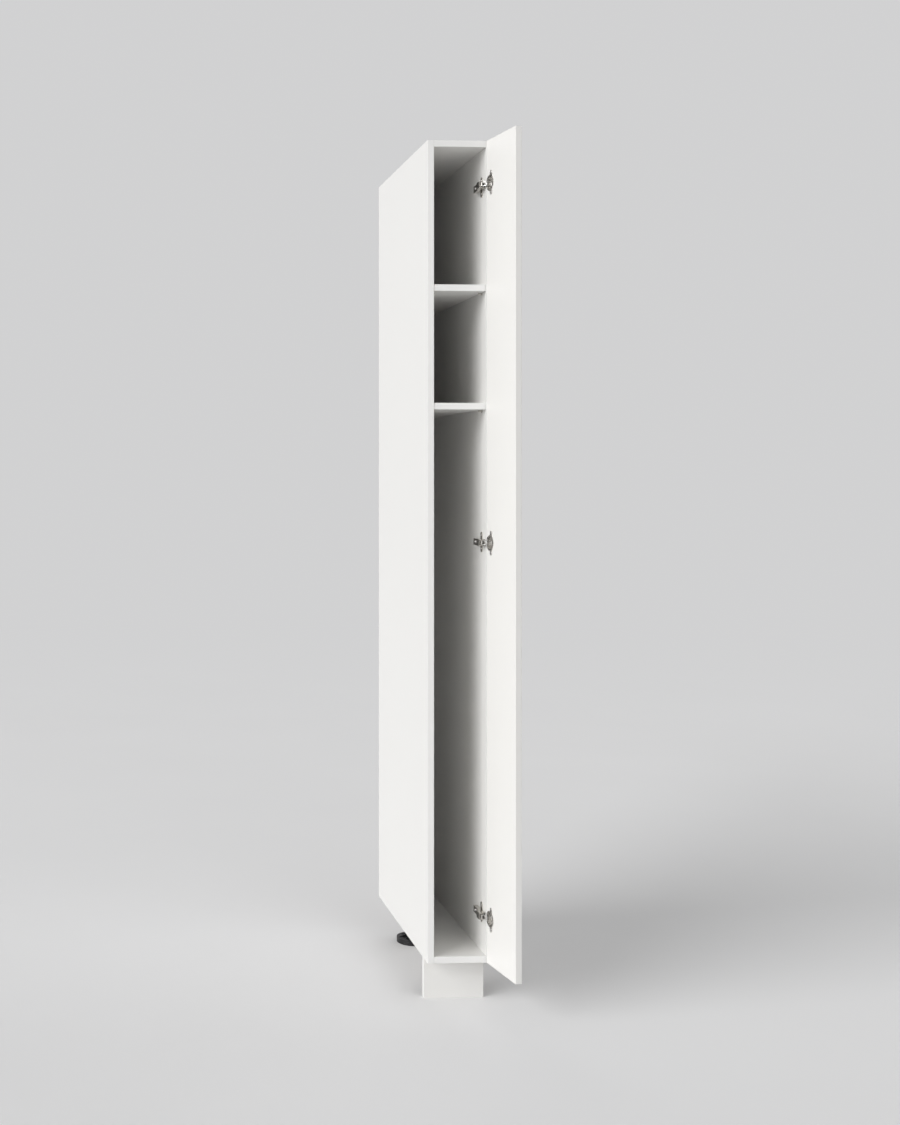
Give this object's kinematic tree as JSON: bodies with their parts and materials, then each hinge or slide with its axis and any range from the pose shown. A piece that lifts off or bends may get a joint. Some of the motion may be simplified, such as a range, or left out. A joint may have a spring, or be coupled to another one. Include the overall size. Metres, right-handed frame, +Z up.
{
  "type": "broom cupboard",
  "caption": "Tall narrow freestanding cupboard, open door on concealed hinges, shelves above a full-height bay.",
  "frame": {"origin": "middle of the underside of the box that holds the cupboard at rest, on the floor", "axes": "+X right and +Y back as seen from the front, +Z up"},
  "size_m": [0.1842, 0.7394, 2.106],
  "materials": {
    "board_white": "white melamine-faced board, satin",
    "door_white": "white faced board, satin",
    "back_white": "thin white faced board, matt",
    "nickel": "bright nickel plate",
    "zinc": "bright zinc",
    "black_plastic": "moulded, matt"
  },
  "bodies": {
    "carcass": {"side_panel_left": "board_white", "side_panel_right": "board_white", "top_panel": "board_white", "bottom_panel": "board_white", "back_panel": "back_white", "cam_top_left_front": "zinc", "cam_top_left_rear": "zinc", "cam_top_right_front": "zinc", "cam_top_right_rear": "zinc", "cam_bottom_left_front": "zinc", "cam_bottom_left_rear": "zinc", "cam_bottom_right_front": "zinc", "cam_bottom_right_rear": "zinc", "cam_bolt_top_left_front": "zinc", "cam_bolt_top_left_rear": "zinc", "cam_bolt_top_right_front": "zinc", "cam_bolt_top_right_rear": "zinc", "cam_bolt_bottom_left_front": "zinc", "cam_bolt_bottom_left_rear": "zinc", "cam_bolt_bottom_right_front": "zinc", "cam_bolt_bottom_right_rear": "zinc", "shelf_upper": "board_white", "shelf_pin_upper_left_front": "nickel", "shelf_pin_upper_left_rear": "nickel", "shelf_pin_upper_right_front": "nickel", "shelf_pin_upper_right_rear": "nickel", "shelf_lower": "board_white", "shelf_pin_lower_left_front": "nickel", "shelf_pin_lower_left_rear": "nickel", "shelf_pin_lower_right_front": "nickel", "shelf_pin_lower_right_rear": "nickel", "hinge_top_plate": "nickel", "hinge_middle_plate": "nickel", "hinge_bottom_plate": "nickel", "hinge_top_arm": "nickel", "hinge_middle_arm": "nickel", "hinge_bottom_arm": "nickel", "leg_socket_front": "black_plastic", "leg_column_front": "black_plastic", "leg_socket_rear": "black_plastic", "leg_column_rear": "black_plastic", "plinth_board": "board_white", "plinth_clip": "black_plastic"},
    "outer_links": {"hinge_top_outer_link": "nickel", "hinge_middle_outer_link": "nickel", "hinge_bottom_outer_link": "nickel"},
    "door": {"door_panel": "door_white", "hinge_top_cup": "nickel", "hinge_middle_cup": "nickel", "hinge_bottom_cup": "nickel"},
    "inner_links": {"hinge_top_inner_link": "nickel", "hinge_middle_inner_link": "nickel", "hinge_bottom_inner_link": "nickel"},
    "foot_front": {"levelling_foot_front": "black_plastic"},
    "foot_rear": {"levelling_foot_rear": "black_plastic"}
  },
  "joints": [
    {"name": "outer_links_swing", "type": "hinge", "parent": "carcass", "child": "outer_links", "pos_m": [0.03868, -0.20694, 1.128], "axis": [0, 0, 1], "range_deg": [-0.9, 13.6]},
    {"name": "door_swing", "type": "hinge", "parent": "outer_links", "child": "door", "pos_m": [0.05683, -0.22086, 1.128], "axis": [0, 0, 1], "range_deg": [-112.5, 6.8]},
    {"name": "inner_links_swing", "type": "hinge", "parent": "door", "child": "inner_links", "pos_m": [0.06137, -0.22014, 1.128], "axis": [0, 0, 1], "range_deg": [-5.9, 95.7]},
    {"name": "levelling_foot_front_height", "type": "slide", "parent": "carcass", "child": "foot_front", "axis": [0, 0, 1], "range_m": [-0.02, 0.006]},
    {"name": "levelling_foot_rear_height", "type": "slide", "parent": "carcass", "child": "foot_rear", "axis": [0, 0, 1], "range_m": [-0.02, 0.006]}
  ],
  "couplings": [
    {"joint": "outer_links_swing", "follows": "door_swing", "ratio": -0.12},
    {"joint": "inner_links_swing", "follows": "door_swing", "ratio": -0.85}
  ]
}
